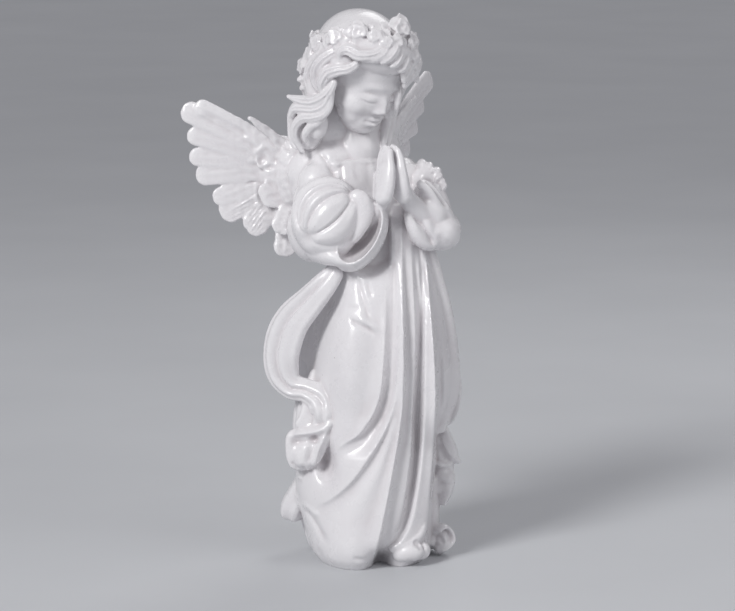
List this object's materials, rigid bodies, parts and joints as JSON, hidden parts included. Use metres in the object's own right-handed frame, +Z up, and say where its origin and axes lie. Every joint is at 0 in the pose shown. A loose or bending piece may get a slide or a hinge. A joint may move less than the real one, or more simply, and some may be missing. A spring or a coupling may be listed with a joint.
{
  "type": "angel figurine",
  "caption": "Standing child angel in a long draped robe, hands pressed together in prayer, wings spread, wavy hair under a wreath of flowers; one white lacquered casting.",
  "frame": {"origin": "on the flat underside of the robe, below the middle of the figure", "axes": "+Z up along the standing figure, -Y the way its body faces, +X to the figure's own left"},
  "size_m": [0.1698, 0.1139, 0.3168],
  "materials": {
    "white_lacquer": "cast resin under a glossy white lacquer"
  },
  "bodies": {
    "root": {"angel_figurine": "white_lacquer"}
  },
  "joints": []
}
